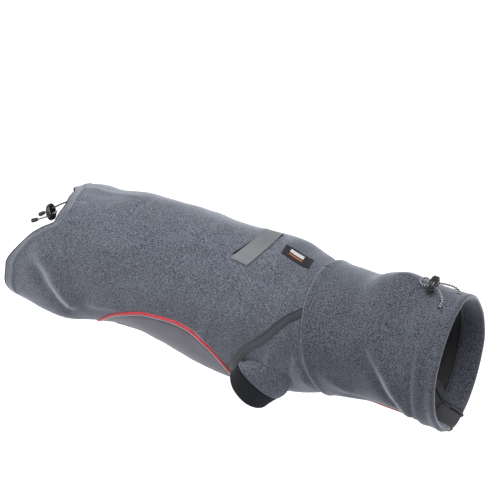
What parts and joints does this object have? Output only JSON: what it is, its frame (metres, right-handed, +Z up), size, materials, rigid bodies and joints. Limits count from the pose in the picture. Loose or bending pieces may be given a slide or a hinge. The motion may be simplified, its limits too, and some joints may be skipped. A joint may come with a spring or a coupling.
{
  "type": "dog sweater",
  "caption": "Small dog's fleece pullover, filled out as worn: long back with tail flaps, stretch belly, short sleeves, folded collar, drawcords with cord locks.",
  "frame": {"origin": "on the wearer's spine, on the inner face of the back panel, in line with the middle of the back", "axes": "+X towards the head, +Y to the dog's left, +Z up; the tube of the body runs along X"},
  "size_m": [0.5634, 0.1602, 0.1947],
  "materials": {
    "fleece": "marled grey fleece, matt, brushed",
    "stretch": "smooth grey stretch jersey, slight sheen",
    "tape": "smooth dark grey tape",
    "rib": "near-black knit",
    "piping": "bright red satin piping",
    "reflective": "light grey reflective fabric, satin",
    "lock": "glossy black",
    "cap": "black",
    "label": "black woven label with an off-white band",
    "elastic": "braided elastic, black with pale flecks"
  },
  "bodies": {
    "root": {"back_panel": "fleece", "belly_panel": "stretch", "buttonhole_left": "elastic", "buttonhole_right": "elastic", "collar": "fleece", "cuff_left": "rib", "cuff_right": "rib", "label": "label", "lead_slot_facing": "tape", "neck_cord": "elastic", "neck_lock": "lock", "piping_left": "piping", "piping_right": "piping", "raglan_tape_left": "tape", "raglan_tape_right": "tape", "reflective_bridge": "reflective", "reflective_edge_left": "reflective", "reflective_edge_right": "reflective", "shoulder_left": "fleece", "shoulder_right": "fleece", "tail_cord_end_left": "cap", "tail_cord_end_right": "cap", "tail_cord_left": "elastic", "tail_cord_right": "elastic", "tail_lock": "lock", "throat_gusset": "stretch", "throat_piping_left": "piping", "throat_piping_right": "piping"}
  },
  "joints": []
}
